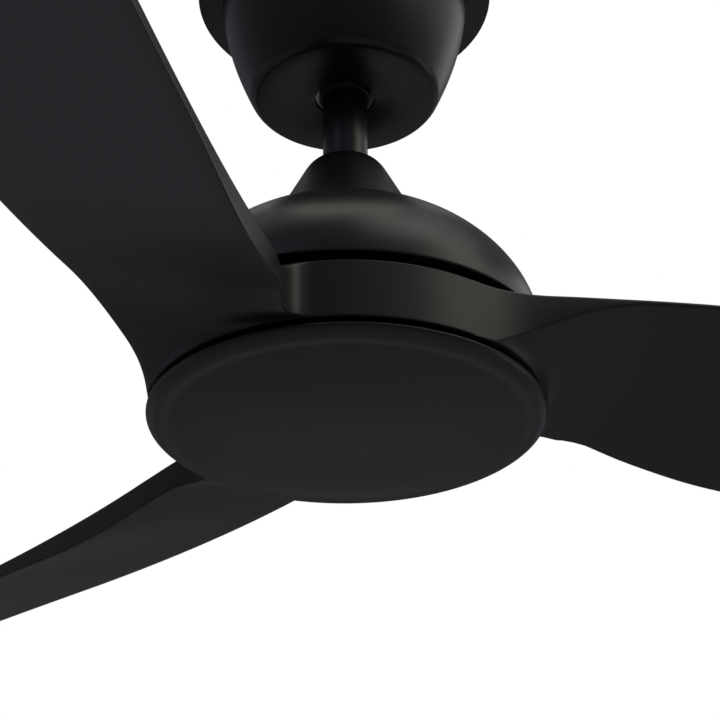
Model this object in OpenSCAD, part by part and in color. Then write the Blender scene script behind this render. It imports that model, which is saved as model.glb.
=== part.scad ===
// Three-blade ceiling fan on a short downrod, with a round blank cover in the light's place.
// Millimetres, +Z up. The origin is the centre of the ceiling face of the mounting.
// Levels inside modules are measured from the top edge of the blank cover's rim,
// which hangs "drop" below the ceiling.

/* [Overall] */
// Ceiling to the top edge of the blank cover's rim
drop = 294; // [240:1:600]
// Blade tip distance along the blade axis
tip_x = 645; // [500:1:700]

/* [Ceiling plate and canopy] */
// Radius of the ceiling plate
plate_r = 91; // [80:0.5:110]
// Thickness of the ceiling plate
plate_t = 5.6; // [3:0.1:10]
// Radius of the opening in the ceiling plate
plate_hole_r = 66; // [60:0.5:70]
// Canopy radius at the ceiling plate
canopy_top_r = 75.9; // [70:0.1:90]
// Canopy radius at its lower edge
canopy_low_r = 56.2; // [45:0.1:70]
// Height of the canopy wall
canopy_h = 72.5; // [60:0.5:90]
// Roundness of the canopy wall
canopy_power = 1.75; // [1:0.05:3]
// Canopy sheet thickness
canopy_wall = 1.5; // [0.8:0.1:3]
// Radius of the hole the rod passes through
canopy_hole_r = 18.2; // [16:0.1:24]

/* [Hanger] */
// Ball radius
ball_r = 24; // [20:0.5:30]
// Level of the ball's centre
ball_level = 262; // [250:1:270]
// Clearance of the ball in its seat
ball_gap = 0.4; // [0.3:0.05:1]
// Distance between the two ceiling slots
slot_spacing = 80; // [60:1:90]
// Radius of the slot ends
slot_r = 2.75; // [2:0.05:4]
// End-to-end length of a slot
slot_len = 14; // [8:0.5:20]
// Downrod outer radius
rod_r = 13.35; // [10:0.05:20]
// Downrod bore radius
rod_bore_r = 11; // [7:0.1:17]
// Radius of the soft collar on the rod
collar_r = 15.6; // [14:0.1:17]

/* [Coupling cover] */
// Radius at the foot of the cover
cover_low_r = 46; // [38:0.5:56]
// Radius where the cone meets the rounded shoulder
cover_neck_r = 25.5; // [18:0.5:30]
// Level where the cone meets the rounded shoulder
cover_neck = 157; // [145:0.5:175]
// Top level of the cover
cover_top = 165.6; // [158:0.1:190]
// Cover wall thickness
cover_wall = 1.6; // [1:0.1:3]

/* [Motor housing] */
// Radius of the dome's lower edge
dome_r = 109.8; // [100:0.1:130]
// Level of the dome's lower edge
dome_level = 41.8; // [38:0.1:60]
// Height of the dome's full ellipse
dome_h = 82; // [60:0.5:100]
// Dome wall thickness
dome_wall = 2; // [1:0.1:4]
// Radius of the flat top inside the coupling cover
dome_flat_r = 36; // [30:0.5:40]
// Motor shaft radius
shaft_r = 12; // [8:0.1:16]
// Bore through the shaft for the leads
shaft_bore_r = 7; // [4:0.1:9]
// Outer radius of the stator
stator_r = 81; // [60:0.5:85]
// Number of stator teeth
teeth = 12; // [9:3:18]
// Air gap between stator and magnets
air_gap = 1.5; // [0.5:0.1:2]
// Number of magnets
poles = 14; // [10:2:20]

/* [Hub and blades] */
// Outer radius of the hub wall
hub_r = 109; // [100:0.1:125]
// Level of the hub wall's lower edge
hub_low = 4; // [3:0.1:8]
// Level of the hub wall's upper edge
hub_top = 36.4; // [30:0.1:40]
// Hub wall thickness
hub_wall = 4; // [2:0.1:6]
// Leading edge: sideways offset near the hub
lead_side = 71.8; // [60:0.1:90]
// Leading edge: how far it sweeps back, 400 mm further out
lead_sweep = 100.3; // [40:0.1:140]
// Leading edge: thickness
lead_t = 2.9; // [2:0.1:6]
// Trailing edge: sideways offset at the blade's waist
trail_side = 52.9; // [35:0.1:70]
// Trailing edge: depth its upper line falls towards
trail_drop = 26.1; // [0:0.1:40]
// Trailing edge: wall height along the inner third
trail_t = 19; // [8:0.5:24]
// Trailing edge: wall height towards the tip
trail_tip_t = 9.8; // [3:0.1:14]
// Trailing edge: how far its wall leans in at the waist
trail_lean = 2.5; // [0:0.1:5]
// Hollow of the blade's underside
camber = 3; // [0:0.5:8]

/* [Light base and blank cover] */
// Radius of the light base
base_r = 104; // [95:0.5:106]
// Thickness of the light base
base_t = 1.8; // [1.2:0.1:2.4]
// Gap between the blank cover's rim and the light base
cap_gap = 0.35; // [0.3:0.05:1]
// Outer radius of the blank cover's rim
cap_r = 110; // [100:0.1:125]
// Depth of the rim
cap_h = 6.2; // [4:0.1:10]
// Radius of the domed face inside the rim's flat shoulder
face_r = 97.5; // [80:0.5:100]
// Bulge of the domed face
face_bulge = 12.7; // [0:0.1:20]
// Thickness of the blank cover
cap_wall = 1.8; // [1:0.1:3]
// Width of a bayonet lug in degrees
lug_deg = 14; // [8:1:20]

/* [Hidden] */
$fn = 96;
e = 0.01;
black = [0.05, 0.05, 0.055];
steel = [0.62, 0.63, 0.65];
plate_low = drop - plate_t;
canopy_low = plate_low - canopy_h;
canopy_steps = 22;
dome_steps = 26;
flat_level = dome_level + dome_h * sqrt(1 - pow(dome_flat_r / dome_r, 2));
foot_level = dome_level + dome_h * sqrt(1 - pow(cover_low_r / dome_r, 2)) + 0.2;
lead_level = 35.3;
canopy_round = 4.6;
seat_top = ball_level - 13;
seat_low = ball_level - 17;
blade_root_steps = 10;
blade_out_steps = 34;
chord_steps = 8;
root_a0 = -54;
root_a1 = 22;
root_r = hub_r - 1.6;
root_x0 = hub_r * cos(root_a0);
join_lead_x = 118;
join_trail_x = 122;
tip_round = 64;
bearing_levels = [28, 84];
bearing_h = 9;
race_in_r = 15;
race_out_r = 21;
bearing_r = 25;
magnet_in_r = stator_r + air_gap;
magnet_t = 4.5;
iron_t = 5;
shell_in_r = magnet_in_r + magnet_t + iron_t;
shell_r = shell_in_r + 3;
blade_screw_r = 82;

// ---------- shared helpers ----------

module at_rim() {
    translate([0, 0, -drop]) children();
}

module ring(r_out, r_in, low, high) {
    translate([0, 0, low]) difference() {
        cylinder(r = r_out, h = high - low);
        translate([0, 0, -1]) cylinder(r = r_in, h = high - low + 2);
    }
}

module arc_ring(r_out, r_in, low, high, from, span) {
    rotate([0, 0, from]) rotate_extrude(angle = span)
        translate([r_in, low]) square([r_out - r_in, high - low]);
}

function mix(a, b, t) = a + (b - a) * t;
function clamp(t) = min(1, max(0, t));
function ease(a, b, x) = let (t = clamp((x - a) / (b - a))) t * t * (3 - 2 * t);

// A point on the curve that leaves p[0] and reaches p[2], pulled towards p[1].
function curve(p, t) = p[0] * pow(1 - t, 2) + p[1] * 2 * t * (1 - t) + p[2] * t * t;

// ---------- ceiling plate, bracket and canopy ----------

module ceiling_plate() color(black) at_rim() {
    translate([0, 0, plate_low]) rotate_extrude() polygon([
        [plate_hole_r, 0],
        [plate_r - 1.2, 0],
        [plate_r, 1.2],
        [plate_r, plate_t],
        [plate_hole_r, plate_t]
    ]);
}

module slot_cut(x) {
    reach = slot_len / 2 - slot_r;
    for (s = [-1, 1])
        translate([x + s * reach, 0, -5]) cylinder(r = slot_r, h = 10, $fn = 48);
    translate([x - reach, -slot_r, -5]) cube([2 * reach, 2 * slot_r, 10]);
}

module hanger_bracket() color(steel) {
    difference() {
        union() {
            translate([-55, -17, -2.5]) cube([110, 34, 2.5]);
            for (s = [-1, 1]) translate([s * 31.5 - 1.5, -15, seat_low - drop])
                cube([3, 30, drop - seat_low - 1]);
            translate([-33, -22, seat_low - drop]) cube([66, 44, seat_top - seat_low]);
            translate([-8, -15, -7]) cube([16, 30, 5]);
            translate([-8, -73.2, -9]) cube([16, 146.4, 2.5]);
            for (s = [-1, 1]) translate([-8, s * 71.95 - 1.25, -18]) cube([16, 2.5, 10]);
        }
        for (s = [-1, 1]) slot_cut(s * slot_spacing / 2);
        at_rim() translate([0, 0, seat_low - e])
            cylinder(r1 = 17.2 + ball_gap, r2 = 20.4 + ball_gap, h = seat_top - seat_low + 2 * e);
        translate([-17.2 - ball_gap, 0, seat_low - drop - 1])
            cube([34.4 + 2 * ball_gap, 30, seat_top - seat_low + 2]);
        for (s = [-1, 1]) translate([0, s * 68, -13]) rotate([90, 0, 0])
            translate([0, 0, -8]) cylinder(r = 1.95, h = 16, $fn = 32);
    }
}

function canopy_r_at(u) = canopy_low_r
    + (canopy_top_r - canopy_low_r) * (1 - pow(1 - u, canopy_power));

module canopy() color(black) at_rim() {
    u0 = (canopy_round - 0.6) / canopy_h;
    edge = [
        [canopy_low_r - canopy_round, canopy_low - 1.4],
        [canopy_low_r - 0.4, canopy_low - 1.4],
        [canopy_r_at(u0), canopy_low + u0 * canopy_h]
    ];
    outer = [for (i = [0:canopy_steps]) let (u = mix(u0, 1, i / canopy_steps))
        [canopy_r_at(u), canopy_low + u * canopy_h]];
    inner = [for (i = [canopy_steps:-1:0]) let (u = i / canopy_steps)
        [canopy_r_at(u) - canopy_wall, canopy_low + max(0.6, u * canopy_h)]];
    difference() {
        rotate_extrude() polygon(concat(
            [[canopy_hole_r, canopy_low - 1.4]],
            [for (i = [0:7]) curve(edge, i / 8)],
            outer, inner,
            [[canopy_low_r - canopy_wall - 1, canopy_low + 0.3],
                [canopy_hole_r + 1.4, canopy_low + 0.3],
                [canopy_hole_r + 1.4, canopy_low + 2.4], [canopy_hole_r, canopy_low + 2.4]]
        ));
        translate([0, 0, drop - 13]) rotate([90, 0, 0])
            translate([0, 0, -90]) cylinder(r = 2.2, h = 180, $fn = 32);
    }
}

module canopy_screws() color(black) {
    for (s = [0, 180]) rotate([0, 0, s]) translate([0, -64, -13]) rotate([90, 0, 0]) {
        cylinder(r = 1.9, h = 12, $fn = 32);
        translate([0, 0, 11.7]) difference() {
            cylinder(r = 3.8, h = 2, $fn = 48);
            translate([-3, -0.5, 1]) cube([6, 1, 2]);
            translate([-0.5, -3, 1]) cube([1, 6, 2]);
        }
    }
}

module terminal_block() color([0.85, 0.85, 0.82]) {
    translate([-48, -15, -24]) difference() {
        cube([11, 30, 21.4]);
        for (i = [0:2]) translate([5.5, 5 + 10 * i, -1]) cylinder(r = 1.8, h = 12, $fn = 24);
        for (i = [0:2]) translate([-1, 5 + 10 * i, 14]) rotate([0, 90, 0])
            cylinder(r = 2.2, h = 6, $fn = 24);
    }
}

module receiver_box() color([0.12, 0.12, 0.13]) {
    difference() {
        translate([34, -21, -36]) cube([22, 42, 26]);
        for (i = [0:4]) translate([55, -15 + 6.8 * i, -32]) cube([2, 2.4, 16]);
        for (s = [-1, 1]) translate([45, s * 12, -11.5]) cylinder(r = 2, h = 4, $fn = 24);
    }
}

// ---------- hanger ball, rod and coupling ----------

module hanger_ball() color([0.16, 0.16, 0.17]) at_rim() difference() {
    intersection() {
        translate([0, 0, ball_level]) sphere(r = ball_r);
        translate([0, 0, ball_level - 16]) cylinder(r = ball_r + 1, h = 26);
    }
    translate([0, 0, ball_level - 30]) cylinder(r = rod_r + 0.05, h = 60);
    translate([0, 0, ball_level]) rotate([0, 90, 0])
        translate([0, 0, -30]) cylinder(r = 3.05, h = 60, $fn = 32);
}

module ball_pin() color(steel) at_rim() {
    translate([0, 0, ball_level]) rotate([0, 90, 0])
        translate([0, 0, -21]) cylinder(r = 3, h = 42, $fn = 32);
}

module downrod() color(black) at_rim() difference() {
    ring(rod_r, rod_bore_r, 126, ball_level + 12);
    for (z = [134, ball_level]) translate([0, 0, z]) rotate([0, 90, 0])
        translate([0, 0, -30]) cylinder(r = 3.05, h = 60, $fn = 32);
}

module rod_collar() color([0.03, 0.03, 0.03]) at_rim() {
    rotate_extrude() polygon([
        [rod_r + 0.05, canopy_low - 1.6],
        [collar_r - 0.5, canopy_low - 1.6],
        [collar_r, canopy_low - 1.1],
        [collar_r, canopy_low + 4.1],
        [collar_r - 0.5, canopy_low + 4.6],
        [rod_r + 0.05, canopy_low + 4.6]
    ]);
}

// Shoulder of the cover: it leaves the cone and turns in towards the rod.
function shoulder(inset) = let (
    reach = cover_top - cover_neck,
    lean = (cover_low_r - cover_neck_r) / (cover_neck - foot_level)
) [
    [cover_neck_r - inset, cover_neck],
    [cover_neck_r - inset - lean * reach * 0.95, cover_top - inset],
    [rod_r + 2.6, cover_top - inset]
];

module coupling_cover() color(black) at_rim() {
    inner_foot = foot_level + 0.7;
    rotate_extrude() polygon(concat(
        [[cover_low_r, foot_level]],
        [for (i = [0:10]) curve(shoulder(0), i / 10)],
        [[rod_r + 0.4, cover_top], [rod_r + 0.4, cover_top - cover_wall]],
        [for (i = [10:-1:0]) curve(shoulder(cover_wall), i / 10)],
        [[cover_low_r - cover_wall, inner_foot]]
    ));
}

module motor_yoke() color([0.35, 0.36, 0.38]) at_rim() difference() {
    union() {
        ring(19, rod_r + 0.05, flat_level, 152);
        ring(32, rod_r + 0.05, flat_level, flat_level + 4);
        ring(19, 8, flat_level, 125);
    }
    translate([0, 0, 134]) rotate([0, 90, 0])
        translate([0, 0, -30]) cylinder(r = 3.05, h = 60, $fn = 32);
    for (a = [0, 180]) rotate([0, 0, a + 90]) translate([0, 0, 145]) rotate([0, 90, 0])
        translate([0, 0, 5]) cylinder(r = 2.55, h = 30, $fn = 32);
    for (a = [45:90:315]) rotate([0, 0, a]) translate([26, 0, flat_level - 1])
        cylinder(r = 2.2, h = 8, $fn = 32);
}

module yoke_pin() color(steel) at_rim() {
    translate([0, 0, 134]) rotate([0, 90, 0]) {
        translate([0, 0, -22]) cylinder(r = 3, h = 44, $fn = 32);
        translate([0, 0, -24]) cylinder(r = 4.5, h = 2.2, $fn = 32);
    }
}

module yoke_screws() color(steel) at_rim() {
    for (a = [90, 270]) rotate([0, 0, a]) translate([0, 0, 145]) rotate([0, 90, 0])
        translate([0, 0, rod_r + 0.1]) difference() {
            cylinder(r = 2.5, h = 9, $fn = 32);
            translate([0, 0, 7]) cylinder(r = 1.3, h = 3, $fn = 24);
        }
}

// ---------- top housing, shaft and stator ----------

function dome_edge(i, inset) = let (
    a0 = asin(sqrt(1 - pow(dome_flat_r / dome_r, 2))),
    a = a0 * i / dome_steps
) [(dome_r - inset) * cos(a), dome_level + (dome_h - inset) * sin(a)];

module top_housing() color(black) at_rim() difference() {
    rotate_extrude() polygon(concat(
        [for (i = [0:dome_steps]) dome_edge(i, 0)],
        [[16, flat_level], [16, flat_level - dome_wall]],
        [for (i = [dome_steps:-1:0]) dome_edge(i, dome_wall)]
    ));
    for (a = [45:90:315]) rotate([0, 0, a]) translate([26, 0, flat_level - 6])
        cylinder(r = 2.2, h = 12, $fn = 32);
}

module housing_screws() color(steel) at_rim() {
    for (a = [45:90:315]) rotate([0, 0, a]) translate([26, 0, 0]) {
        translate([0, 0, flat_level - 5.5]) cylinder(r = 1.95, h = 9.6, $fn = 32);
        translate([0, 0, flat_level + 4]) difference() {
            cylinder(r = 3.6, h = 2.2, $fn = 32);
            translate([0, 0, 1]) cylinder(r = 1.6, h = 3, $fn = 6);
        }
    }
}

module motor_shaft() color([0.7, 0.71, 0.73]) at_rim() difference() {
    union() {
        translate([0, 0, 6]) cylinder(r = shaft_r, h = flat_level - dome_wall - 6);
        translate([0, 0, flat_level - dome_wall - 4]) cylinder(r = 31, h = 4);
        translate([0, 0, 44]) cylinder(r = shaft_r + 2, h = 5);
    }
    cylinder(r = shaft_bore_r, h = 200);
    for (a = [45:90:315]) rotate([0, 0, a]) translate([26, 0, flat_level - 12])
        cylinder(r = 2, h = 12, $fn = 32);
    for (a = [0:120:240]) rotate([0, 0, a + 30]) translate([9.5, 0, 0])
        cylinder(r = 1.3, h = 16, $fn = 24);
}

module bearing_inner_races() color(steel) at_rim() {
    for (z = bearing_levels) ring(race_in_r, shaft_r + 0.05, z, z + bearing_h);
}

module bearing_outer_races() color(steel) at_rim() {
    for (z = bearing_levels) ring(bearing_r, race_out_r, z, z + bearing_h);
}

module bearing_balls() color([0.8, 0.8, 0.82]) at_rim() {
    for (z = bearing_levels) translate([0, 0, z + bearing_h / 2]) {
        ring(18.8, 17.2, -1.2, 1.2);
        for (a = [0:45:315]) rotate([0, 0, a]) translate([18, 0, 0]) sphere(r = 2.6, $fn = 32);
    }
}

module stator_core() color([0.55, 0.56, 0.58]) at_rim() difference() {
    union() {
        ring(38, shaft_r + 0.05, 50, 68);
        for (k = [0:teeth - 1]) rotate([0, 0, k * 360 / teeth]) {
            translate([36, -5, 50]) cube([stator_r - 40, 10, 18]);
            arc_ring(stator_r, stator_r - 4.5, 50, 68, -12, 24);
        }
    }
    for (a = [0:60:300]) rotate([0, 0, a + 15]) translate([26, 0, 40])
        cylinder(r = 5, h = 40, $fn = 48);
}

module stator_windings() color([0.72, 0.35, 0.14]) at_rim() {
    for (k = [0:teeth - 1]) rotate([0, 0, k * 360 / teeth]) difference() {
        union() {
            translate([43, -8, 46.5]) cube([stator_r - 53, 16, 25]);
            translate([41.5, -7.2, 47.5]) cube([stator_r - 50, 14.4, 23]);
        }
        translate([30, -5.2, 49.8]) cube([60, 10.4, 18.4]);
    }
}

// ---------- rotor ----------

module rotor_lower_shell() color([0.13, 0.13, 0.14]) at_rim() difference() {
    union() {
        ring(104, bearing_r, 24, 28);
        ring(30, bearing_r + 0.05, 27, 39);
        ring(shell_r, shell_in_r, 27, 50);
        ring(101, shell_in_r, 47, 50);
    }
    for (k = [0:2]) for (a = [-24, 0, 24]) rotate([0, 0, 120 * k + a])
        translate([blade_screw_r, 0, 20]) cylinder(r = 2.05, h = 12, $fn = 32);
    for (a = [0:60:300]) rotate([0, 0, a + 30]) translate([98.2, 0, 40])
        cylinder(r = 1.6, h = 20, $fn = 24);
    for (a = [0:60:300]) rotate([0, 0, a]) translate([52, 0, 20])
        cylinder(r = 8, h = 12, $fn = 48);
}

module rotor_upper_shell() color([0.13, 0.13, 0.14]) at_rim() difference() {
    union() {
        ring(shell_r, bearing_r, 74, 77);
        ring(30, bearing_r + 0.05, 76, 94);
        ring(shell_r, shell_in_r, 50, 75);
        ring(101, shell_in_r, 50, 53);
    }
    for (a = [0:60:300]) rotate([0, 0, a + 30]) translate([98.2, 0, 40])
        cylinder(r = 1.6, h = 20, $fn = 24);
    for (a = [0:60:300]) rotate([0, 0, a]) translate([60, 0, 70])
        cylinder(r = 10, h = 12, $fn = 48);
}

module rotor_screws() color(steel) at_rim() {
    for (a = [0:60:300]) rotate([0, 0, a + 30]) translate([98.2, 0, 0]) {
        translate([0, 0, 46.4]) cylinder(r = 1.5, h = 6.7, $fn = 24);
        translate([0, 0, 53]) cylinder(r = 2.6, h = 1.8, $fn = 32);
    }
}

module back_iron() color([0.42, 0.43, 0.45]) at_rim() {
    ring(shell_in_r, magnet_in_r + magnet_t, 46, 72);
}

module magnets() color([0.25, 0.25, 0.27]) at_rim() {
    for (k = [0:poles - 1])
        arc_ring(magnet_in_r + magnet_t, magnet_in_r, 48, 70, k * 360 / poles, 360 / poles - 2.5);
}

// ---------- blades ----------

// Leading edge: offset across the blade axis.
function lead_y(x) = -lead_side
    + lead_sweep * pow(max(0, x - 100) / 400, 1.636)
    - 0.00445 * pow(max(0, 110 - x), 2.15);

// Leading edge: lower line, rising from the hub's lower edge to just under the upper line.
function lead_low(x) = lead_high(x)
    - mix(hub_top - hub_low - 0.8, lead_t, sin(90 * clamp((x - 76) / 89)));

function lead_high(x) = mix(hub_top - 0.4, lead_level, ease(85, 150, x))
    - 14 * pow(max(0, x - 400) / 245, 2);

// Trailing edge: offset across the blade axis.
function trail_y(x) = trail_side + 0.354 * (x - 160)
    - 0.00274 * pow(max(0, 165 - x), 2)
    - 0.00074 * pow(max(0, x - 350), 2);

// Trailing edge: upper line, falling away from the hub.
function trail_high(x) = let (
    fall = hub_top - 0.4 + trail_drop,
    line = fall * exp(-pow(max(0, x - 95) / 169, 0.894)) - trail_drop
) mix(hub_top - 0.4, line, ease(96, 120, x)) + 20 * pow(max(0, x - 400) / 245, 2);

// Trailing edge: height of its wall.
function trail_h(x) = trail_tip_t
    + (trail_t - trail_tip_t) * (1 - ease(184, 310, x))
    + (hub_top - hub_low - 0.8 - trail_t) * (1 - ease(95, 140, x));

// Trailing edge: the upper line lies this far in from the lower one.
function lean(x) = trail_lean * ease(100, 160, x) * (1 - ease(90, 828, x));

// Narrowing of the blade into its rounded tip.
function tip_w(x) = sqrt(max(0.03, 1 - pow(clamp((x - tip_x + tip_round) / tip_round), 2)));

function lead_pt(i) = i <= blade_root_steps
    ? let (x = mix(root_x0, join_lead_x, i / blade_root_steps)) [x, lead_y(x)]
    : let (x = station(join_lead_x, i), w = tip_w(x))
        [x, mix((lead_y(x) + trail_y(x)) / 2, lead_y(x), w)];

// The trailing side leaves the hub wall through a hollow fillet.
function trail_pt(i) = i <= blade_root_steps
    ? let (
        t = i / blade_root_steps,
        p0 = [hub_r * cos(root_a1), hub_r * sin(root_a1)],
        p1 = [hub_r * cos(15.2) + 0.6, hub_r * sin(15.2)],
        p2 = [join_trail_x, trail_y(join_trail_x)]
    ) p0 * pow(1 - t, 2) + p1 * 2 * t * (1 - t) + p2 * t * t
    : let (x = station(join_trail_x, i), w = tip_w(x))
        [x, mix((lead_y(x) + trail_y(x)) / 2, trail_y(x), w)];

function station(x0, i) = let (q = (i - blade_root_steps) / blade_out_steps)
    mix(x0, tip_x, 1 - pow(1 - q, 1.25));

// Plan position of a point: straight across the blade, bowed onto the hub's circle at the root.
function plan_pt(i, t) = let (
    a = mix(root_a0, root_a1, t),
    straight = mix(lead_pt(i), trail_pt(i), t),
    chord0 = mix(lead_pt(0), trail_pt(0), t),
    bow = [root_r * cos(a), root_r * sin(a)] - chord0
) straight + bow * pow(clamp(1 - i / (blade_root_steps + 4)), 2);

function hollow(i, t) = camber * 4 * t * (1 - t) * ease(0, blade_root_steps + 6, i);

function low_pt(i, t) = let (
    p = plan_pt(i, t),
    xl = lead_pt(i)[0],
    xt = trail_pt(i)[0]
) [p[0], p[1], mix(lead_low(xl), trail_high(xt) - trail_h(xt), t) + hollow(i, t)];

function high_pt(i, t) = let (
    p = plan_pt(i, t),
    xl = lead_pt(i)[0],
    xt = trail_pt(i)[0]
) [p[0], p[1] - lean(xt) * t, mix(lead_high(xl), trail_high(xt), t) + 1.4 * hollow(i, t)];

module blade_shape() {
    n = blade_root_steps + blade_out_steps;
    m = chord_steps;
    loop = 2 * (m + 1);
    pts = [for (i = [0:n]) each concat(
        [for (j = [0:m]) low_pt(i, j / m)],
        [for (j = [m:-1:0]) high_pt(i, j / m)]
    )];
    sides = [for (i = [0:n - 1]) for (j = [0:loop - 1]) let (
        a = i * loop + j,
        b = i * loop + (j + 1) % loop
    ) each [[a, b + loop, b], [a, a + loop, b + loop]]];
    caps = [for (j = [0:m - 1]) let (a = j, b = j + 1, c = loop - 2 - j, d = loop - 1 - j)
        each [[a, b, c], [a, c, d]]];
    ends = [for (f = caps) [f[0] + n * loop, f[2] + n * loop, f[1] + n * loop]];
    polyhedron(points = pts, faces = concat(sides, caps, ends), convexity = 6);
}

// One moulding per blade: the root sector carries the hub wall, the aerofoil grows out of it.
module blade_root(k) color(black) at_rim() rotate([0, 0, 120 * k]) difference() {
    union() {
        arc_ring(hub_r, hub_r - hub_wall, hub_low, hub_top, -60, 120);
        arc_ring(hub_r - hub_wall + 1, 98, hub_top - 3, hub_top, -60, 120);
        arc_ring(hub_r - hub_wall + 1, 62, 18, 24, -50, 100);
    }
    for (a = [-24, 0, 24]) rotate([0, 0, a]) translate([blade_screw_r, 0, 10])
        cylinder(r = 2.2, h = 20, $fn = 32);
}

module blade(k) color(black) at_rim() rotate([0, 0, 120 * k]) blade_shape();

module root_1() blade_root(0);

module root_2() blade_root(1);

module root_3() blade_root(2);

module blade_1() blade(0);

module blade_2() blade(1);

module blade_3() blade(2);

module blade_screws() color(steel) at_rim() {
    for (k = [0:2]) for (a = [-24, 0, 24]) rotate([0, 0, 120 * k + a])
        translate([blade_screw_r, 0, 0]) {
            translate([0, 0, 17]) cylinder(r = 1.95, h = 12.5, $fn = 24);
            translate([0, 0, 15.4]) difference() {
                cylinder(r = 4, h = 2.6, $fn = 32);
                translate([-3, -0.5, -1]) cube([6, 1, 2]);
                translate([-0.5, -3, -1]) cube([1, 6, 2]);
            }
        }
}

// ---------- light base and blank cover ----------

module light_base() color([0.2, 0.2, 0.21]) at_rim() {
    difference() {
        translate([0, 0, cap_gap]) union() {
            cylinder(r = base_r, h = base_t);
            cylinder(r = 20, h = 5.6);
        }
        translate([0, 0, -1]) cylinder(r = shaft_bore_r, h = 10);
        for (a = [0:120:240]) rotate([0, 0, a + 30]) translate([9.5, 0, -1])
            cylinder(r = 1.6, h = 10, $fn = 24);
        for (a = [60:120:300]) rotate([0, 0, a]) translate([62, 0, -1])
            cylinder(r = 11, h = 5, $fn = 48);
    }
    for (a = [0:120:240]) rotate([0, 0, a]) {
        arc_ring(93.5, 91.5, -5, cap_gap + 0.5, -8, 16);
        arc_ring(93.5, 88.5, -5, -3.6, -8, 16);
        arc_ring(93.5, 88.5, -5, cap_gap + 0.5, -9.5, 1.6);
    }
}

module base_screws() color(steel) at_rim() {
    for (a = [0:120:240]) rotate([0, 0, a + 30]) translate([9.5, 0, cap_gap]) {
        translate([0, 0, -0.5]) cylinder(r = 1.25, h = 14, $fn = 24);
        translate([0, 0, -1.6]) cylinder(r = 2.4, h = 1.6, $fn = 32);
    }
}

module light_connector() color([0.9, 0.9, 0.88]) at_rim() {
    translate([0, 0, cap_gap]) difference() {
        union() {
            translate([34, -6, -5]) cube([20, 12, 5]);
            translate([30, -4, -4.2]) cube([6, 8, 3.4]);
        }
        for (s = [-1, 1]) translate([48, s * 2.8, -2.6]) rotate([0, 90, 0])
            cylinder(r = 1.1, h = 10, $fn = 24);
    }
}

// Outer face of the blank cover, from its centre out to the rim's shoulder.
function face_z(r) = -cap_h - face_bulge * (1 - pow(r / face_r, 2));

// Outside of the rim: from the shoulder up and out to its top edge.
function rim_pt(a) = [
    cap_r - 7.4 * (1 - pow(sin(a), 1.3)),
    -0.4 - (cap_h - 0.6) * pow(cos(a), 1.05)
];

module blank_cover() color(black) at_rim() {
    rotate_extrude() polygon(concat(
        [for (i = [0:12]) let (r = face_r * i / 12) [r, face_z(r)]],
        [for (i = [0:11]) rim_pt(90 * i / 11)],
        [[cap_r - 0.3, 0], [cap_r - 2.4, 0]],
        [[cap_r - 4.6, -cap_h / 2 + 0.7], [cap_r - 8, -cap_h + 2.3]],
        [[face_r, cap_wall - cap_h], [face_r * 11 / 12, face_z(face_r * 11 / 12) + cap_wall],
            [88, face_z(88) + cap_wall], [88, -1.6], [86, -1.6], [86, face_z(86) + cap_wall]],
        [for (i = [10:-1:0]) let (r = face_r * i / 12) [r, face_z(r) + cap_wall]]
    ));
    for (a = [0:120:240])
        arc_ring(91, 87, -3.3, -1.9, a - lug_deg / 2, lug_deg);
}

ceiling_plate();
hanger_bracket();
canopy();
canopy_screws();
terminal_block();
receiver_box();
hanger_ball();
ball_pin();
downrod();
rod_collar();
coupling_cover();
motor_yoke();
yoke_pin();
yoke_screws();
top_housing();
housing_screws();
motor_shaft();
bearing_inner_races();
stator_core();
stator_windings();
light_base();
base_screws();
light_connector();
bearing_outer_races();
bearing_balls();
rotor_lower_shell();
rotor_upper_shell();
rotor_screws();
back_iron();
magnets();
root_1();
root_2();
root_3();
blade_1();
blade_2();
blade_3();
blade_screws();
blank_cover();
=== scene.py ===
import math

import bpy
from mathutils import Matrix, Vector


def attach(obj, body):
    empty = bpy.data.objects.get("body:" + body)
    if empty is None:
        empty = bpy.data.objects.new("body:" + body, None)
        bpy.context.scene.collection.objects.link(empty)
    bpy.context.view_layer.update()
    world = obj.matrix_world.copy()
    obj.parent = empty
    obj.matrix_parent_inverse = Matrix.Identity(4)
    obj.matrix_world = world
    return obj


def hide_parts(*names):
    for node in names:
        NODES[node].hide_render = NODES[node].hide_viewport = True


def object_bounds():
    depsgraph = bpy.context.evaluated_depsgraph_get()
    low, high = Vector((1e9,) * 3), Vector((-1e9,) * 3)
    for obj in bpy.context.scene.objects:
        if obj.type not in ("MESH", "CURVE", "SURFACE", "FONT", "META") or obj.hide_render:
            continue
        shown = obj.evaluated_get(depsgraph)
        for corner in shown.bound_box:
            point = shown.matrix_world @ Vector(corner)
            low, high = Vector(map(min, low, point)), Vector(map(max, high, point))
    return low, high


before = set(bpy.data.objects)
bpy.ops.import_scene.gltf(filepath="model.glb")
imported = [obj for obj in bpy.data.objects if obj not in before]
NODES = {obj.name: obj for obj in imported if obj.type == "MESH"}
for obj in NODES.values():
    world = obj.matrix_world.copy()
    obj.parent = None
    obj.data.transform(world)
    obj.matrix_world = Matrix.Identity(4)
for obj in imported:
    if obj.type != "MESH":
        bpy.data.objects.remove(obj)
CAD_LO, CAD_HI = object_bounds()

# ---------------------------------------------------------------- sizes (mm, as in part.scad)

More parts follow.
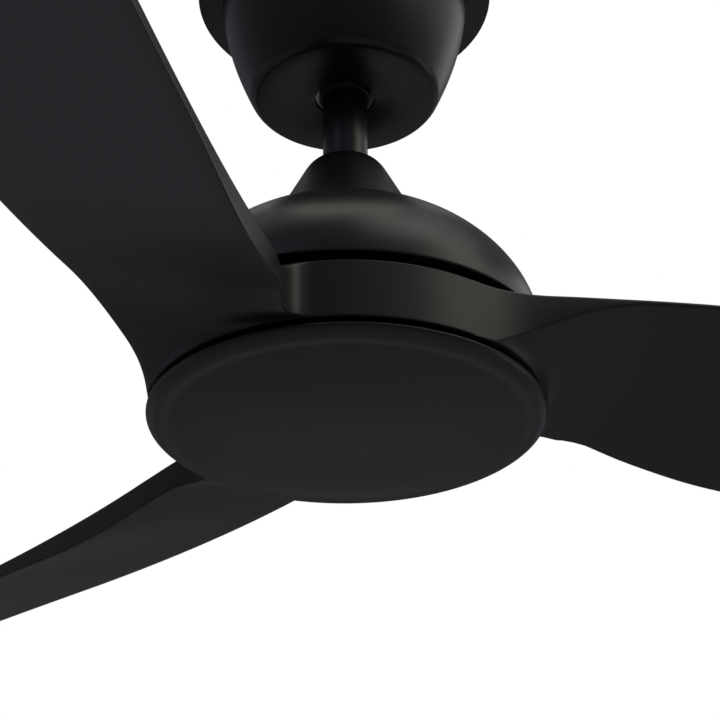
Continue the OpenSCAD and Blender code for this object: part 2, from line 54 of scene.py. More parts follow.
MM = 0.001
DROP = 294.0
TIP_X = 645.0
HUB_R, HUB_LOW, HUB_TOP, HUB_WALL = 109.0, 4.0, 36.4, 4.0
LEAD_SIDE, LEAD_SWEEP, LEAD_T, LEAD_LEVEL = 71.8, 100.3, 2.9, 35.3
TRAIL_SIDE, TRAIL_DROP, TRAIL_T, TRAIL_TIP_T, TRAIL_LEAN = 52.9, 26.1, 19.0, 9.8, 2.5
CAMBER = 3.0
ROOT_A0, ROOT_A1 = -54.0, 22.0
ROOT_X0 = HUB_R * math.cos(math.radians(ROOT_A0))
JOIN_LEAD_X, JOIN_TRAIL_X = 118.0, 122.0
TIP_ROUND = 64.0
PLATE_R, PLATE_T, PLATE_HOLE_R = 91.0, 5.6, 66.0
CANOPY_TOP_R, CANOPY_LOW_R, CANOPY_H, CANOPY_POWER = 75.9, 56.2, 72.5, 1.75
CANOPY_WALL, CANOPY_ROUND, CANOPY_HOLE_R = 1.5, 4.6, 18.2
PLATE_LOW = DROP - PLATE_T
CANOPY_LOW = PLATE_LOW - CANOPY_H
ROD_R, COLLAR_R = 13.35, 15.6
COVER_LOW_R, COVER_NECK_R, COVER_NECK, COVER_TOP, COVER_WALL = 46.0, 25.5, 157.0, 165.6, 1.6
DOME_R, DOME_LEVEL, DOME_H, DOME_WALL, DOME_FLAT_R = 109.8, 41.8, 82.0, 2.0, 36.0
CAP_R, CAP_H, CAP_WALL, LUG_DEG = 110.0, 6.2, 1.8, 14.0
FACE_R, FACE_BULGE = 97.5, 12.7

# ---------------------------------------------------------------- material helpers


def node(tree, kind, **props):
    n = tree.nodes.new(kind)
    for key, value in props.items():
        setattr(n, key, value)
    return n


def material(name):
    m = bpy.data.materials.new(name)
    m.use_nodes = True
    t = m.node_tree
    bsdf = t.nodes["Principled BSDF"]
    return m, t, bsdf


def noise(tree, coords, scale, detail=3.0, rough=0.5):
    n = node(tree, "ShaderNodeTexNoise")
    n.inputs["Scale"].default_value = scale
    n.inputs["Detail"].default_value = detail
    n.inputs["Roughness"].default_value = rough
    tree.links.new(coords, n.inputs["Vector"])
    return n.outputs["Fac"]


def ramp(tree, fac, low, high, a, b):
    r = node(tree, "ShaderNodeValToRGB")
    r.color_ramp.elements[0].position = low
    r.color_ramp.elements[1].position = high
    r.color_ramp.elements[0].color = (*a, 1)
    r.color_ramp.elements[1].color = (*b, 1)
    tree.links.new(fac, r.inputs["Fac"])
    return r.outputs["Color"]


def remap(tree, fac, a, b):
    m = node(tree, "ShaderNodeMapRange")
    m.inputs["To Min"].default_value = a
    m.inputs["To Max"].default_value = b
    tree.links.new(fac, m.inputs["Value"])
    return m.outputs["Result"]


def bump(tree, height, distance, strength, before=None):
    b = node(tree, "ShaderNodeBump")
    b.inputs["Distance"].default_value = distance
    b.inputs["Strength"].default_value = strength
    tree.links.new(height, b.inputs["Height"])
    if before is not None:
        tree.links.new(before, b.inputs["Normal"])
    return b.outputs["Normal"]


def coords(tree, stretch=(1, 1, 1)):
    c = node(tree, "ShaderNodeTexCoord")
    m = node(tree, "ShaderNodeMapping")
    m.inputs["Scale"].default_value = stretch
    tree.links.new(c.outputs["Object"], m.inputs["Vector"])
    return m.outputs["Vector"]


def finish_like(name, dark, light, rough, grain=900.0, grain_depth=0.00006, strength=0.25,
                metallic=0.0, spread=0.05):
    """A satin or textured surface: broad tone drift, fine grain in height and roughness."""
    m, t, bsdf = material(name)
    at = coords(t)
    broad = noise(t, at, 9.0, 4.0, 0.55)
    fine = noise(t, at, grain, 2.0, 0.5)
    mid = noise(t, at, grain * 0.22, 3.0, 0.6)
    t.links.new(ramp(t, broad, 0.3, 0.7, dark, light), bsdf.inputs["Base Color"])
    mix = node(t, "ShaderNodeMath", operation="ADD")
    t.links.new(broad, mix.inputs[0])
    t.links.new(fine, mix.inputs[1])
    half = node(t, "ShaderNodeMath", operation="MULTIPLY")
    half.inputs[1].default_value = 0.5
    t.links.new(mix.outputs[0], half.inputs[0])
    t.links.new(remap(t, half.outputs[0], rough - spread, rough + spread),
                bsdf.inputs["Roughness"])
    first = bump(t, mid, grain_depth * 2, strength * 0.5)
    t.links.new(bump(t, fine, grain_depth, strength, first), bsdf.inputs["Normal"])
    bsdf.inputs["Metallic"].default_value = metallic
    return m


def brushed(name, dark, light, rough, stretch):
    """Metal with fine lines along one direction."""
    m, t, bsdf = material(name)
    at = coords(t, stretch)
    lines = noise(t, at, 260.0, 5.0, 0.6)
    broad = noise(t, coords(t), 14.0, 3.0, 0.5)
    t.links.new(ramp(t, broad, 0.3, 0.7, dark, light), bsdf.inputs["Base Color"])
    t.links.new(remap(t, lines, rough - 0.09, rough + 0.12), bsdf.inputs["Roughness"])
    t.links.new(bump(t, lines, 0.00004, 0.35), bsdf.inputs["Normal"])
    bsdf.inputs["Metallic"].default_value = 1.0
    return m


def laminated(name, dark, light, pitch=0.0005):
    """Stacked sheets: fine level lines up the height."""
    m, t, bsdf = material(name)
    at = coords(t)
    wave = node(t, "ShaderNodeTexWave", wave_type="BANDS", bands_direction="Z")
    wave.inputs["Scale"].default_value = 1 / (pitch * 20 * math.pi) * 3.1
    wave.inputs["Distortion"].default_value = 0.4
    wave.inputs["Detail"].default_value = 1.0
    t.links.new(at, wave.inputs["Vector"])
    t.links.new(ramp(t, wave.outputs["Fac"], 0.1, 0.9, dark, light), bsdf.inputs["Base Color"])
    t.links.new(remap(t, noise(t, at, 220.0), 0.35, 0.6), bsdf.inputs["Roughness"])
    t.links.new(bump(t, wave.outputs["Fac"], 0.00008, 0.6), bsdf.inputs["Normal"])
    bsdf.inputs["Metallic"].default_value = 0.85
    return m


def wound(name, dark, light):
    """Enamelled wire laid side by side."""
    m, t, bsdf = material(name)
    at = coords(t)
    wave = node(t, "ShaderNodeTexWave", wave_type="BANDS", bands_direction="Z")
    wave.inputs["Scale"].default_value = 330.0
    wave.inputs["Distortion"].default_value = 1.2
    wave.inputs["Detail"].default_value = 2.0
    wave.inputs["Detail Scale"].default_value = 0.4
    t.links.new(at, wave.inputs["Vector"])
    t.links.new(ramp(t, wave.outputs["Fac"], 0.05, 0.8, dark, light), bsdf.inputs["Base Color"])
    t.links.new(remap(t, noise(t, at, 120.0), 0.22, 0.4), bsdf.inputs["Roughness"])
    t.links.new(bump(t, wave.outputs["Fac"], 0.0003, 0.9), bsdf.inputs["Normal"])
    bsdf.inputs["Metallic"].default_value = 0.8
    return m


COAT = finish_like("black_powder_coat", (0.0062, 0.0064, 0.0070), (0.0090, 0.0092, 0.0100),
                   0.34, grain=700.0, grain_depth=0.00008, strength=0.20)
DOME = finish_like("black_dome_coat", (0.0080, 0.0078, 0.0074), (0.0110, 0.0107, 0.0102),
                   0.33, grain=800.0, grain_depth=0.00006, strength=0.16)
ROD = finish_like("black_rod_enamel", (0.0055, 0.0058, 0.0068), (0.0080, 0.0084, 0.0096),
                  0.30, grain=1000.0, grain_depth=0.00004, strength=0.15)
COVER = finish_like("black_cover_enamel", (0.0076, 0.0078, 0.0082), (0.0102, 0.0105, 0.0110),
                    0.38, grain=900.0, grain_depth=0.00006, strength=0.18)
BLADE = finish_like("blade_plastic", (0.0074, 0.0078, 0.0083), (0.0104, 0.0109, 0.0115),
                    0.40, grain=1100.0, grain_depth=0.00005, strength=0.20)
ZINC = brushed("zinc_steel", (0.42, 0.43, 0.45), (0.60, 0.61, 0.62), 0.34, (1, 14, 1))
BLACK_SCREW = finish_like("black_oxide", (0.012, 0.012, 0.013), (0.022, 0.021, 0.021), 0.38,
                          grain=1500.0, metallic=0.4)
RACE = brushed("bearing_steel", (0.62, 0.63, 0.65), (0.78, 0.79, 0.80), 0.16, (1, 1, 20))
SHAFT = brushed("turned_shaft", (0.52, 0.53, 0.55), (0.68, 0.69, 0.70), 0.26, (1, 1, 24))
YOKE = finish_like("cast_yoke_paint", (0.22, 0.225, 0.235), (0.30, 0.305, 0.315), 0.48,
                   grain=420.0, grain_depth=0.0002, strength=0.4, metallic=0.3)
NYLON_BLACK = finish_like("dark_nylon", (0.022, 0.022, 0.024), (0.034, 0.034, 0.036), 0.46)
RUBBER = finish_like("collar_rubber", (0.007, 0.007, 0.007), (0.012, 0.012, 0.012), 0.62,
                     grain=1300.0, grain_depth=0.0001, strength=0.35)
NYLON = finish_like("natural_nylon", (0.66, 0.64, 0.58), (0.76, 0.74, 0.69), 0.44)
RECEIVER = finish_like("receiver_plastic", (0.020, 0.020, 0.022), (0.034, 0.034, 0.037), 0.55,
                       grain=520.0, grain_depth=0.00025, strength=0.5)
LAMINATED = laminated("electrical_steel", (0.20, 0.205, 0.215), (0.46, 0.47, 0.48))
COPPER = wound("enamelled_copper", (0.34, 0.10, 0.028), (0.78, 0.33, 0.12))
FERRITE = finish_like("ferrite", (0.045, 0.045, 0.050), (0.080, 0.080, 0.085), 0.50,
                      grain=380.0, grain_depth=0.0002, strength=0.4)
PRESSED = finish_like("pressed_steel_coat", (0.012, 0.012, 0.013), (0.018, 0.018, 0.019), 0.50,
                      grain=600.0, metallic=0.2)

CARRIED = {
    "hanger_bracket": ZINC, "ball_pin": ZINC, "yoke_pin": ZINC, "yoke_screws": ZINC,
    "housing_screws": ZINC, "base_screws": ZINC, "rotor_screws": BLACK_SCREW, "blade_screws": ZINC,
    "canopy_screws": BLACK_SCREW, "bearing_inner_races": RACE, "bearing_outer_races": RACE,
    "bearing_balls": RACE, "motor_shaft": SHAFT, "motor_yoke": YOKE,
    "hanger_ball": NYLON_BLACK, "terminal_block": NYLON, "light_connector": NYLON,
    "receiver_box": RECEIVER, "stator_core": LAMINATED, "back_iron": LAMINATED,
    "stator_windings": COPPER, "magnets": FERRITE, "rotor_lower_shell": PRESSED,
    "rotor_upper_shell": PRESSED, "light_base": PRESSED, "ceiling_plate": COAT,
    "canopy": COAT, "downrod": ROD, "rod_collar": RUBBER, "coupling_cover": COAT,
    "top_housing": DOME, "blank_cover": COVER,
    "root_1": BLADE, "root_2": BLADE, "root_3": BLADE,
    "blade_1": BLADE, "blade_2": BLADE, "blade_3": BLADE,
}
for name, mat in CARRIED.items():
    NODES[name].data.materials.clear()
    NODES[name].data.materials.append(mat)

# ---------------------------------------------------------------- mesh helpers

SHARP_DEG = 48

def mesh_object(name, points, faces, mat, body, replaced):
    me = bpy.data.meshes.new(name)
    me.from_pydata([Vector(p) * MM for p in points], [], faces)
    me.validate()
    ob = bpy.data.objects.new(name, me)
    bpy.context.scene.collection.objects.link(ob)
    me.materials.append(mat)
    for poly in me.polygons:
        poly.use_smooth = True
    me.set_sharp_from_angle(angle=math.radians(SHARP_DEG))
    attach(ob, body)
    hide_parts(*replaced)
    return ob


def mix(a, b, t):
    return a + (b - a) * t


def clamp(t):
    return min(1.0, max(0.0, t))


def ease(a, b, x):
    t = clamp((x - a) / (b - a))
    return t * t * (3 - 2 * t)


# ---------------------------------------------------------------- blades


def lead_y(x):
    return (-LEAD_SIDE + LEAD_SWEEP * (max(0, x - 100) / 400) ** 1.636
            - 0.00445 * max(0, 110 - x) ** 2.15)


def lead_high(x):
    return mix(HUB_TOP - 0.05, LEAD_LEVEL, ease(85, 150, x)) - 14 * (max(0, x - 400) / 245) ** 2


def lead_low(x):
    rise = math.sin(math.radians(90 * clamp((x - 76) / 89)))
    return lead_high(x) - mix(HUB_TOP - HUB_LOW - 0.1, LEAD_T, rise)


def trail_y(x):
    return (TRAIL_SIDE + 0.354 * (x - 160) - 0.00274 * max(0, 165 - x) ** 2
            - 0.00074 * max(0, x - 350) ** 2)


def trail_high(x):
    fall = HUB_TOP - 0.4 + TRAIL_DROP
    line = fall * math.exp(-(max(0, x - 95) / 169) ** 0.894) - TRAIL_DROP
    return mix(HUB_TOP - 0.05, line, ease(96, 120, x)) + 20 * (max(0, x - 400) / 245) ** 2


def trail_h(x):
    return (TRAIL_TIP_T + (TRAIL_T - TRAIL_TIP_T) * (1 - ease(184, 310, x))
            + (HUB_TOP - HUB_LOW - 0.1 - TRAIL_T) * (1 - ease(95, 140, x)))


def lean(x):
    return TRAIL_LEAN * ease(100, 160, x) * (1 - ease(90, 828, x))


def tip_w(x):
    return math.sqrt(max(0.03, 1 - clamp((x - TIP_X + TIP_ROUND) / TIP_ROUND) ** 2))


def station(x0, q):
    return mix(x0, TIP_X, 1 - (1 - q) ** 1.25)


def on_circle(deg, r=HUB_R):
    a = math.radians(deg)
    return Vector((r * math.cos(a), r * math.sin(a)))


def lead_pt(s):
    """s runs 0..1 over the root fillet and 1..2 along the blade."""
    if s <= 1:
        x = mix(ROOT_X0, JOIN_LEAD_X, s)
        return Vector((x, lead_y(x)))
    x = station(JOIN_LEAD_X, s - 1)
    return Vector((x, mix((lead_y(x) + trail_y(x)) / 2, lead_y(x), tip_w(x))))


def trail_pt(s):
    if s <= 1:
        p0, p1 = on_circle(ROOT_A1), on_circle(15.2) + Vector((0.6, 0))
        p2 = Vector((JOIN_TRAIL_X, trail_y(JOIN_TRAIL_X)))
        return p0 * (1 - s) ** 2 + p1 * (2 * s * (1 - s)) + p2 * s * s
    x = station(JOIN_TRAIL_X, s - 1)
    return Vector((x, mix((lead_y(x) + trail_y(x)) / 2, trail_y(x), tip_w(x))))


def plan_pt(s, t):
    straight = lead_pt(s).lerp(trail_pt(s), t)
    chord0 = lead_pt(0).lerp(trail_pt(0), t)
    bow = on_circle(mix(ROOT_A0, ROOT_A1, t), HUB_R - 0.02) - chord0
    return straight + bow * clamp(1 - s / 1.4) ** 2


def hollow(s, t):
    grow = ease(0, 1.6, s if s <= 1 else 1 + (s - 1) * 3.4)
    return CAMBER * 4 * t * (1 - t) * grow


def low_pt(s, t):
    p, xl, xt = plan_pt(s, t), lead_pt(s).x, trail_pt(s).x
    return Vector((p.x, p.y, mix(lead_low(xl), trail_high(xt) - trail_h(xt), t) + hollow(s, t)))


def high_pt(s, t):
    p, xl, xt = plan_pt(s, t), lead_pt(s).x, trail_pt(s).x
    return Vector((p.x, p.y - lean(xt) * t,
                   mix(lead_high(xl), trail_high(xt), t) + 1.4 * hollow(s, t)))


def corner(before, at, after, steps):
    """A small round in place of a sharp corner."""
    out = []
    for i in range(steps + 1):
        u = i / steps
        out.append(before * (1 - u) ** 2 + at * (2 * u * (1 - u)) + after * u * u)
    return out


def section(s, across=18, steps=3, r=1.3):
    """Closed loop of points round the blade at station s."""
    width = (lead_pt(s) - trail_pt(s)).length
    e = min(0.2, r / width)
    ll, tl, th, lh = low_pt(s, 0), low_pt(s, 1), high_pt(s, 1), high_pt(s, 0)

    def part(a, b):
        k = min(0.45, r / max(0.1, (b - a).length))
        return a.lerp(b, k), b.lerp(a, k)

    tw0, tw1 = part(tl, th)
    lw1, lw0 = part(lh, ll)
    loop = corner(lw0, ll, low_pt(s, e), steps)
    loop += [low_pt(s, mix(e, 1 - e, j / across)) for j in range(1, across)]
    loop += corner(low_pt(s, 1 - e), tl, tw0, steps)
    loop += [tw0.lerp(tw1, u) for u in (0.12, 0.5, 0.88)]
    loop += corner(tw1, th, high_pt(s, 1 - e), steps)
    loop += [high_pt(s, mix(1 - e, e, j / across)) for j in range(1, across)]
    loop += corner(high_pt(s, e), lh, lw1, steps)
    return loop


def blade_mesh():
    root, out = 26, 96
    ss = [i / root for i in range(root + 1)] + [1 + (i + 1) / out for i in range(out)]
    loops = [section(s) for s in ss]
    n = len(loops[0])
    pts = [p for loop in loops for p in loop]
    faces = []
    for i in range(len(loops) - 1):
        for j in range(n):
            a, b = i * n + j, i * n + (j + 1) % n
            faces.append((a, a + n, b + n, b))
    faces.append(tuple(range(n)))
    faces.append(tuple(reversed(range(len(pts) - n, len(pts)))))
    return pts, faces


def turned(profile, deg):
    a = math.radians(deg)
    return [Vector((r * math.cos(a), r * math.sin(a), z)) for r, z in profile]


def sector(profile, a0, a1, steps, base=0):
    """A closed profile (r, z) swept from a0 to a1 degrees; the end caps have their own points."""
    n = len(profile)
    pts, faces = [], []
    for i in range(steps + 1):
        pts += turned(profile, mix(a0, a1, i / steps))
    for i in range(steps):
        for j in range(n):
            a, b = base + i * n + j, base + i * n + (j + 1) % n
            faces.append((a, b, b + n, a + n))
    caps = base + len(pts)
    pts += turned(profile, a0) + turned(profile, a1)
    faces.append(tuple(caps + j for j in reversed(range(n))))
    faces.append(tuple(caps + n + j for j in range(n)))
    return pts, faces


def lathe(profile, steps=256, base=0):
    """A closed profile (r, z) turned all the way round; points on the axis are shared."""
    pts, faces, rows = [], [], []
    for r, z in profile:
        if r < 1e-6:
            rows.append([base + len(pts)] * steps)
            pts.append(Vector((0, 0, z)))
        else:
            rows.append([base + len(pts) + i for i in range(steps)])
            pts += [Vector((r * math.cos(2 * math.pi * i / steps),
                            r * math.sin(2 * math.pi * i / steps), z)) for i in range(steps)]
    for j, row in enumerate(rows):
        below = rows[(j + 1) % len(rows)]
        for i in range(steps):
            k = (i + 1) % steps
            quad = []
            for v in (row[i], below[i], below[k], row[k]):
                if v not in quad:
                    quad.append(v)
            if len(quad) > 2:
                faces.append(tuple(quad))
    return pts, faces


def rounded(points, r, steps=4, hold=0.35):
    """A closed outline in (r, z) with its corners rounded and held by points just beside them.

    r is one radius, or one per point; 0 keeps a point as it is.
    """
    out = []
    n = len(points)
    radii = r if isinstance(r, (list, tuple)) else [r] * n
    for i in range(n):
        a, b, c = Vector(points[i - 1]), Vector(points[i]), Vector(points[(i + 1) % n])
        if radii[i] == 0:
            out.append((b.x, b.y))
            continue
        ra = min(radii[i], (a - b).length * 0.42)
        rc = min(radii[i], (c - b).length * 0.42)
        ua, uc = (a - b).normalized(), (c - b).normalized()
        p, q = b + ua * ra, b + uc * rc
        near_a, near_c = (a - b).length * 0.46, (c - b).length * 0.46
        if ra + hold < near_a:
            out.append(tuple(b + ua * (ra + hold)))
        for k in range(steps + 1):
            u = k / steps
            out.append(tuple(p * (1 - u) ** 2 + b * (2 * u * (1 - u)) + q * u * u))
        if rc + hold < near_c:
            out.append(tuple(b + uc * (rc + hold)))
    return out


def bend(p, steps):
    """Points of the curve from p[0] to p[2], pulled towards p[1]."""
    a, b, c = (Vector(q) for q in p)
    return [tuple(a * (1 - u) ** 2 + b * (2 * u * (1 - u)) + c * u * u)
            for u in (i / steps for i in range(steps + 1))]


def joined(*parts):
    """Several (points, faces) makers in one mesh."""
    pts, faces = [], []
    for part in parts:
        p, f = part(len(pts))
        pts += p
        faces += f
    return pts, faces


def hang(pts):
    return [p - Vector((0, 0, DROP)) for p in pts]


LIP_R, LIP_T = 98, 3
FLANGE_R, FLANGE_LOW, FLANGE_TOP = 62, 18, 24
WALL = rounded([(HUB_R - HUB_WALL, HUB_LOW), (HUB_R, HUB_LOW), (HUB_R, HUB_TOP),
                (LIP_R, HUB_TOP), (LIP_R, HUB_TOP - LIP_T),
                (HUB_R - HUB_WALL, HUB_TOP - LIP_T)], 0.8)
PLATE = rounded([(FLANGE_R, FLANGE_LOW), (HUB_R - HUB_WALL + 1, FLANGE_LOW),
                 (HUB_R - HUB_WALL + 1, FLANGE_TOP), (FLANGE_R, FLANGE_TOP)], 0.6)

blade_pts, blade_faces = blade_mesh()
for k in range(3):
    pts, faces = list(blade_pts), list(blade_faces)
    for prof, a0, a1 in ((WALL, -60, 60), (PLATE, -50, 50)):
        p, f = sector(prof, a0, a1, 160, len(pts))
        pts += p
        faces += f
    turn = Matrix.Rotation(math.radians(120 * k), 3, "Z")
    pts = hang([turn @ p for p in pts])
    mesh_object(f"blade_skin_{k + 1}", pts, faces, BLADE, "rotor",
                [f"blade_{k + 1}", f"root_{k + 1}"])

# ---------------------------------------------------------------- turned pieces


def canopy_r(u):
    return CANOPY_LOW_R + (CANOPY_TOP_R - CANOPY_LOW_R) * (1 - (1 - u) ** CANOPY_POWER)


def canopy_outline():
    u0 = (CANOPY_ROUND - 0.6) / CANOPY_H
    out = [(CANOPY_HOLE_R + 0.3, CANOPY_LOW - 1.4)]
    out += bend([(CANOPY_LOW_R - CANOPY_ROUND, CANOPY_LOW - 1.4),
                 (CANOPY_LOW_R - 0.4, CANOPY_LOW - 1.4),
                 (canopy_r(u0), CANOPY_LOW + u0 * CANOPY_H)], 12)[:-1]
    us = [mix(u0, 1, i / 48) for i in range(49)]
    out += [(canopy_r(u), CANOPY_LOW + u * CANOPY_H) for u in us]
    out += [(canopy_r(u) - CANOPY_WALL, CANOPY_LOW + max(0.6, u * CANOPY_H))
            for u in reversed([0.0] + us)]
    out += [(CANOPY_LOW_R - CANOPY_WALL - 1, CANOPY_LOW + 0.3),
            (CANOPY_HOLE_R + 1.4, CANOPY_LOW + 0.3), (CANOPY_HOLE_R + 1.4, CANOPY_LOW + 2.1),
            (CANOPY_HOLE_R + 1.1, CANOPY_LOW + 2.4), (CANOPY_HOLE_R + 0.3, CANOPY_LOW + 2.4),
            (CANOPY_HOLE_R, CANOPY_LOW + 2.1), (CANOPY_HOLE_R, CANOPY_LOW - 1.1)]
    return out


def cover_outline():
    foot = DOME_LEVEL + DOME_H * math.sqrt(1 - (COVER_LOW_R / DOME_R) ** 2) + 0.2
    slope = (COVER_LOW_R - COVER_NECK_R) / (COVER_NECK - foot) * (COVER_TOP - COVER_NECK) * 0.95

    def side(inset):
        return bend([(COVER_NECK_R - inset, COVER_NECK),
                     (COVER_NECK_R - inset - slope, COVER_TOP - inset),
                     (ROD_R + 2.6, COVER_TOP - inset)], 18)

    outer = [(mix(COVER_LOW_R - 0.1, COVER_NECK_R, u), mix(foot + 0.3, COVER_NECK, u))
             for u in (0, 0.02, 0.25, 0.5, 0.75)]
    return ([(COVER_LOW_R - 0.4, foot + 0.1)] + outer + side(0)
            + [(ROD_R + 0.7, COVER_TOP), (ROD_R + 0.4, COVER_TOP - 0.3),
               (ROD_R + 0.4, COVER_TOP - COVER_WALL)]
            + side(COVER_WALL)[::-1] + [(COVER_LOW_R - COVER_WALL, foot + 0.5)])


def dome_outline():
    turn = math.degrees(math.asin(math.sqrt(1 - (DOME_FLAT_R / DOME_R) ** 2)))
    angles = [math.radians(turn * i / 96) for i in range(97)]
    top = DOME_LEVEL + DOME_H * math.sqrt(1 - (DOME_FLAT_R / DOME_R) ** 2)
    outer = [(DOME_R * math.cos(a), DOME_LEVEL + DOME_H * math.sin(a)) for a in angles]
    inner = [((DOME_R - DOME_WALL) * math.cos(a), DOME_LEVEL + (DOME_H - DOME_WALL) * math.sin(a))
             for a in angles]
    lip = [(DOME_R - DOME_WALL + 0.5, DOME_LEVEL), (DOME_R - 0.5, DOME_LEVEL)]
    outer[0] = (DOME_R, DOME_LEVEL + 0.5)
    inner[0] = (DOME_R - DOME_WALL, DOME_LEVEL + 0.5)
    return (lip + outer + [(DOME_FLAT_R - 1, top), (16, top), (16, top - DOME_WALL)]
            + inner[::-1])


def face_z(r):
    return -CAP_H - FACE_BULGE * (1 - (r / FACE_R) ** 2)


def cap_outline():
    face = [FACE_R * i / 90 for i in range(91)]
    low = [(r, face_z(r)) for r in face[:-1]]
    low += bend([(FACE_R, face_z(FACE_R)), (FACE_R + 0.8, -CAP_H + 0.15),
                 (FACE_R + 1.8, -CAP_H + 0.15)], 5)
    arc = [math.pi / 2 * i / 44 for i in range(45)]
    rim = [(CAP_R - 7.4 * (1 - math.sin(a) ** 1.3), -0.4 - (CAP_H - 0.6) * math.cos(a) ** 1.05)
           for a in arc]
    rim += [(CAP_R - 0.25, -0.12), (CAP_R - 0.7, 0), (CAP_R - 2.1, 0), (CAP_R - 2.5, -0.3),
            (CAP_R - 4.6, -CAP_H / 2 + 0.7), (CAP_R - 8, -CAP_H + 2.3)]
    top = [(r, face_z(r) + CAP_WALL) for r in reversed(face)]
    wall = [(88, face_z(88) + CAP_WALL), (88, -1.9), (87.7, -1.6), (86.3, -1.6), (86, -1.9),
            (86, face_z(86) + CAP_WALL)]
    keep_out = [q for q in top if q[0] > 88.2]
    keep_in = [q for q in top if q[0] < 85.8]
    return low + rim + keep_out + wall + keep_in


PLATE_DISC = rounded([(PLATE_HOLE_R, PLATE_LOW), (PLATE_R, PLATE_LOW), (PLATE_R, DROP),
                      (PLATE_HOLE_R, DROP)], [0.4, 1.3, 0.3, 0.4], 6)
COLLAR = rounded([(ROD_R + 0.05, CANOPY_LOW - 1.6), (COLLAR_R, CANOPY_LOW - 1.6),
                  (COLLAR_R, CANOPY_LOW + 4.6), (ROD_R + 0.05, CANOPY_LOW + 4.6)], 0.8, 6)
LUG = rounded([(87, -3.3), (91, -3.3), (91, -1.9), (87, -1.9)], 0.35, 3, 0.2)


def lug(k):
    return lambda base: sector(LUG, 120 * k - LUG_DEG / 2, 120 * k + LUG_DEG / 2, 16, base)


for name, outline, mat, body, slot, old in (
        ("ceiling_plate_skin", PLATE_DISC, COAT, "ceiling_mount", "black_powder_coat",
         "ceiling_plate"),
        ("canopy_skin", canopy_outline(), COAT, "ceiling_mount", "black_powder_coat", "canopy"),
        ("rod_collar_skin", COLLAR, RUBBER, "hanging", "collar_rubber", "rod_collar"),
        ("coupling_cover_skin", cover_outline(), COAT, "hanging", "black_powder_coat",
         "coupling_cover"),
        ("top_housing_skin", dome_outline(), DOME, "hanging", "black_powder_coat",
         "top_housing")):
    pts, faces = lathe(outline)
    mesh_object(name, hang(pts), faces, mat, body, [old])

pts, faces = joined(lambda base: lathe(cap_outline(), 256, base), lug(0), lug(1), lug(2))
mesh_object("blank_cover_skin", hang(pts), faces, COVER, "cover", ["blank_cover"])

# ---------------------------------------------------------------- camera

CAM_BACK, CAM_BELOW = 857.99, 417.52 + DROP
PITCH, YAW, ROLL = 0.48666, 0.008586, 0.011077
LENS_OVER_WIDTH = 2.41348

right = Vector((math.cos(YAW), -math.sin(YAW), 0))
ahead = Vector((math.sin(YAW) * math.cos(PITCH), math.cos(YAW) * math.cos(PITCH), math.sin(PITCH)))
up = right.cross(ahead)
cam_x = right * math.cos(ROLL) - up * math.sin(ROLL)
cam_y = right * math.sin(ROLL) + up * math.cos(ROLL)
cam = bpy.data.cameras.new("camera")
cam_ob = bpy.data.objects.new("camera", cam)
bpy.context.scene.collection.objects.link(cam_ob)
cam.sensor_width = 36.0
cam.lens = 36.0 * LENS_OVER_WIDTH
cam.clip_start, cam.clip_end = 0.01, 50
pose = Matrix((cam_x, cam_y, -ahead)).transposed().to_4x4()
pose.translation = Vector((0, -CAM_BACK, -CAM_BELOW)) * MM
cam_ob.matrix_world = pose
bpy.context.scene.camera = cam_ob

# ---------------------------------------------------------------- floor, world and lights

floor_me = bpy.data.meshes.new("floor")
FLOOR_BELOW, FLOOR_HALF = 2.1, 6.0
floor_z = CAD_LO.z - FLOOR_BELOW
floor_me.from_pydata([(-FLOOR_HALF, -FLOOR_HALF, floor_z), (FLOOR_HALF, -FLOOR_HALF, floor_z),
                      (FLOOR_HALF, FLOOR_HALF, floor_z), (-FLOOR_HALF, FLOOR_HALF, floor_z)],
                     [], [(0, 1, 2, 3)])
floor = bpy.data.objects.new("floor", floor_me)
bpy.context.scene.collection.objects.link(floor)
floor_me.materials.append(finish_like("floor_paint", (0.78, 0.78, 0.77), (0.82, 0.82, 0.81),
                                      0.7, grain=60.0, grain_depth=0.0005))

# Each panel: azimuth from the camera's side towards the right, elevation, width, height and
# its light in red, green and blue. All stand PANEL_AWAY metres from PANEL_AIM and face it.
PANELS = {
    "far_lower": (180, -26, 1.7, 0.9, (0.58, 0.55, 0.67)),
    "far_deep": (180, -46, 1.7, 1.0, (0.0, 0.19, 0.24)),
    "far_left_low": (216, -12, 1.5, 1.0, (0.75, 0.76, 0.94)),
    "far_right_low": (144, -12, 1.5, 1.0, (0.82, 0.86, 1.02)),
    "right_low": (100, -12, 1.5, 1.0, (3.61, 3.54, 3.26)),
    "left_low": (260, -12, 1.5, 1.0, (0.93, 1.05, 1.37)),
    "right_far": (130, 26, 1.5, 1.2, (4.25, 4.33, 4.29)),
    "right": (96, 26, 1.5, 1.2, (3.53, 3.52, 3.41)),
    "right_near": (62, 26, 1.5, 1.2, (5.83, 5.36, 4.46)),
    "near": (20, 30, 1.6, 1.2, (0.49, 0.69, 1.02)),
    "left_near": (320, 30, 1.5, 1.2, (0.83, 1.04, 1.52)),
    "left_far": (230, 26, 1.5, 1.2, (0.27, 0.31, 0.43)),
    "top_far": (180, 62, 1.8, 1.2, (2.49, 2.68, 2.65)),
    "top": (0, 88, 1.6, 1.6, (9.15, 9.05, 8.07)),
    "top_right": (90, 60, 1.6, 1.2, (2.98, 3.00, 2.99)),
    "top_right_near": (45, 58, 1.6, 1.2, (6.64, 6.58, 6.03)),
    "top_left_far": (225, 58, 1.6, 1.2, (0.24, 0.26, 0.30)),
    "right_high": (75, 42, 1.2, 1.0, (3.96, 3.85, 3.32)),
    "top_left": (270, 60, 1.6, 1.2, (1.58, 1.54, 1.41)),
}
PANEL_AWAY = 3.0
PANEL_AIM = Vector((0, 0, -0.22))
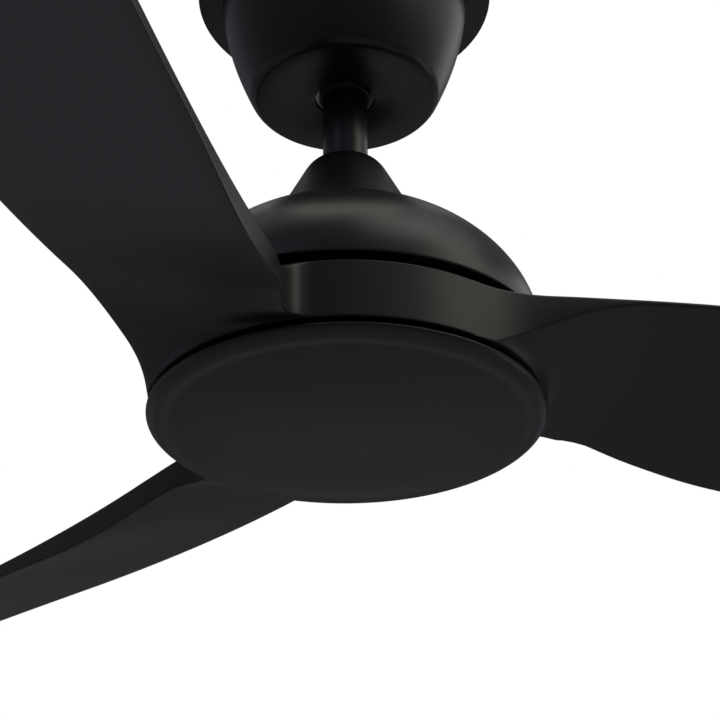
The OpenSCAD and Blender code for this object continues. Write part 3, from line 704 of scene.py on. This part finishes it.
AMBIENT_LOW = (0.022, 0.032, 0.020)
AMBIENT_HIGH = (0.117, 0.121, 0.130)

world = bpy.data.worlds.new("studio")
bpy.context.scene.world = world
world.use_nodes = True
wt = world.node_tree
wt.nodes.clear()
out = node(wt, "ShaderNodeOutputWorld")
seen = node(wt, "ShaderNodeBackground")
seen.inputs["Color"].default_value = (1, 1, 1, 1)
seen.inputs["Strength"].default_value = 1.0
lit = node(wt, "ShaderNodeBackground")
lit.inputs["Strength"].default_value = 1.0
where = node(wt, "ShaderNodeTexCoord")
split = node(wt, "ShaderNodeSeparateXYZ")
wt.links.new(where.outputs["Generated"], split.inputs[0])
height = node(wt, "ShaderNodeMapRange")
height.inputs["From Min"].default_value = -0.22
height.inputs["From Max"].default_value = -0.06
wt.links.new(split.outputs["Z"], height.inputs["Value"])
wt.links.new(ramp(wt, height.outputs["Result"], 0.0, 1.0, AMBIENT_LOW, AMBIENT_HIGH),
             lit.inputs["Color"])
path = node(wt, "ShaderNodeLightPath")
pick = node(wt, "ShaderNodeMixShader")
wt.links.new(path.outputs["Is Camera Ray"], pick.inputs[0])
wt.links.new(lit.outputs[0], pick.inputs[1])
wt.links.new(seen.outputs[0], pick.inputs[2])
wt.links.new(pick.outputs[0], out.inputs["Surface"])


def panel(name, turn, rise, wide, high, light):
    turn, rise = math.radians(turn), math.radians(rise)
    to = Vector((math.cos(rise) * math.sin(turn), -math.cos(rise) * math.cos(turn),
                 math.sin(rise)))
    lamp = bpy.data.lights.new(name, "AREA")
    lamp.shape = "RECTANGLE"
    lamp.size, lamp.size_y = wide, high
    lamp.energy = max(light)
    lamp.color = [c / max(light) for c in light]
    ob = bpy.data.objects.new(name, lamp)
    bpy.context.scene.collection.objects.link(ob)
    ob.location = PANEL_AIM + to * PANEL_AWAY
    ob.rotation_euler = (-to).to_track_quat("-Z", "Y").to_euler()
    ob.visible_camera = False


for name, spec in PANELS.items():
    panel(name, *spec)

bpy.context.scene.view_settings.view_transform = "Standard"
bpy.context.scene.view_settings.look = "None"
